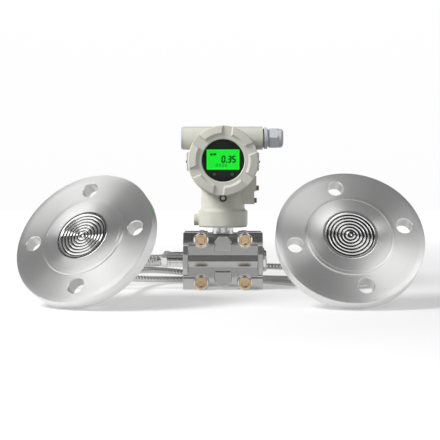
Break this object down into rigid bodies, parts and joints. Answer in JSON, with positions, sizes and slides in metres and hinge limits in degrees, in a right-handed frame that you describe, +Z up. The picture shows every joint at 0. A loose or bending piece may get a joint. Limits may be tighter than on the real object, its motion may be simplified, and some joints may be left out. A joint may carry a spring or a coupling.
{
  "type": "differential pressure transmitter",
  "caption": "Differential pressure transmitter with a round display head on a bolted sensor block, joined by armoured capillary hoses to remote flanged diaphragm seals.",
  "frame": {"origin": "on the floor, in the middle of the footprint without the hoses", "axes": "+X to the right of the display, +Y to the rear cover, +Z up"},
  "size_m": [0.4562, 0.3513, 0.2108],
  "materials": {
    "cast_steel": "cast, satin",
    "turned_steel": "fine turned",
    "polished_steel": "bright",
    "gilt_steel": "yellow passivated zinc",
    "zinc_steel": "blue zinc",
    "cream_paint": "satin powder coat",
    "window_glass": "clear",
    "black_plastic": "matt",
    "green_display": "backlit",
    "board": "lacquered",
    "nylon": "moulded",
    "rubber": "matt",
    "thin_plate": "etched sheet",
    "bronzed_steel": "browned",
    "hose_armour": "interlocked strip"
  },
  "bodies": {
    "sensor": {"process_flange_front": "cast_steel", "process_flange_rear": "cast_steel", "clamp_bolts": "gilt_steel", "clamp_washers": "zinc_steel", "clamp_nuts": "gilt_steel", "sensor_capsule": "turned_steel", "capsule_membranes": "polished_steel", "capsule_seals": "rubber", "sensor_stem": "polished_steel", "hose_adapters": "turned_steel", "hose_nuts": "turned_steel", "port_plugs": "turned_steel", "seal_flange_left": "turned_steel", "seal_diaphragm_left": "polished_steel", "seal_neck_left": "turned_steel", "seal_flange_right": "turned_steel", "seal_diaphragm_right": "polished_steel", "seal_neck_right": "turned_steel", "capillary_hose_left": "hose_armour", "capillary_hose_right": "hose_armour"},
    "head": {"housing": "cream_paint", "side_plates": "thin_plate", "plate_rivets": "bronzed_steel", "side_screws": "bronzed_steel", "rotation_lock_screw": "zinc_steel", "display_module": "black_plastic", "display_panel": "green_display", "display_screws": "zinc_steel", "electronics_board": "board", "board_posts": "zinc_steel", "terminal_block": "black_plastic", "terminal_screws": "zinc_steel", "gland_washer": "rubber", "gland_body": "nylon", "gland_seal": "rubber", "cover_seals": "rubber"},
    "front_cover": {"front_cover": "cream_paint", "window_glass": "window_glass", "window_ring": "zinc_steel"},
    "rear_cover": {"rear_cover": "cream_paint"},
    "conduit_plug": {"conduit_plug": "nylon"},
    "gland_nut": {"gland_nut": "nylon"},
    "cover_lock_screw": {"cover_lock_screw": "bronzed_steel"},
    "adjuster_plate": {"adjuster_plate": "cream_paint"}
  },
  "joints": [
    {"name": "head_turn", "type": "hinge", "parent": "sensor", "child": "head", "pos_m": [0.00536, 0.08553, 0.09], "axis": [0, 0, 1], "range_deg": [-180, 180]},
    {"name": "front_cover_turn", "type": "hinge", "parent": "head", "child": "front_cover", "pos_m": [0.00536, 0.03253, 0.1643], "axis": [0, -1, 0], "continuous": true},
    {"name": "rear_cover_turn", "type": "hinge", "parent": "head", "child": "rear_cover", "pos_m": [0.00536, 0.13953, 0.1643], "axis": [0, 1, 0], "continuous": true},
    {"name": "conduit_plug_turn", "type": "hinge", "parent": "head", "child": "conduit_plug", "pos_m": [-0.04264, 0.08553, 0.1955], "axis": [-1, 0, 0], "continuous": true},
    {"name": "gland_nut_turn", "type": "hinge", "parent": "head", "child": "gland_nut", "pos_m": [0.07536, 0.08553, 0.1955], "axis": [1, 0, 0], "continuous": true},
    {"name": "cover_lock_screw_turn", "type": "hinge", "parent": "head", "child": "cover_lock_screw", "pos_m": [0.00536, 0.04953, 0.1172], "axis": [0, -1, 0], "continuous": true},
    {"name": "adjuster_plate_swing", "type": "hinge", "parent": "head", "child": "adjuster_plate", "pos_m": [0.04836, 0.08553, 0.13], "axis": [1, 0, 0], "range_deg": [-90, 90]}
  ]
}
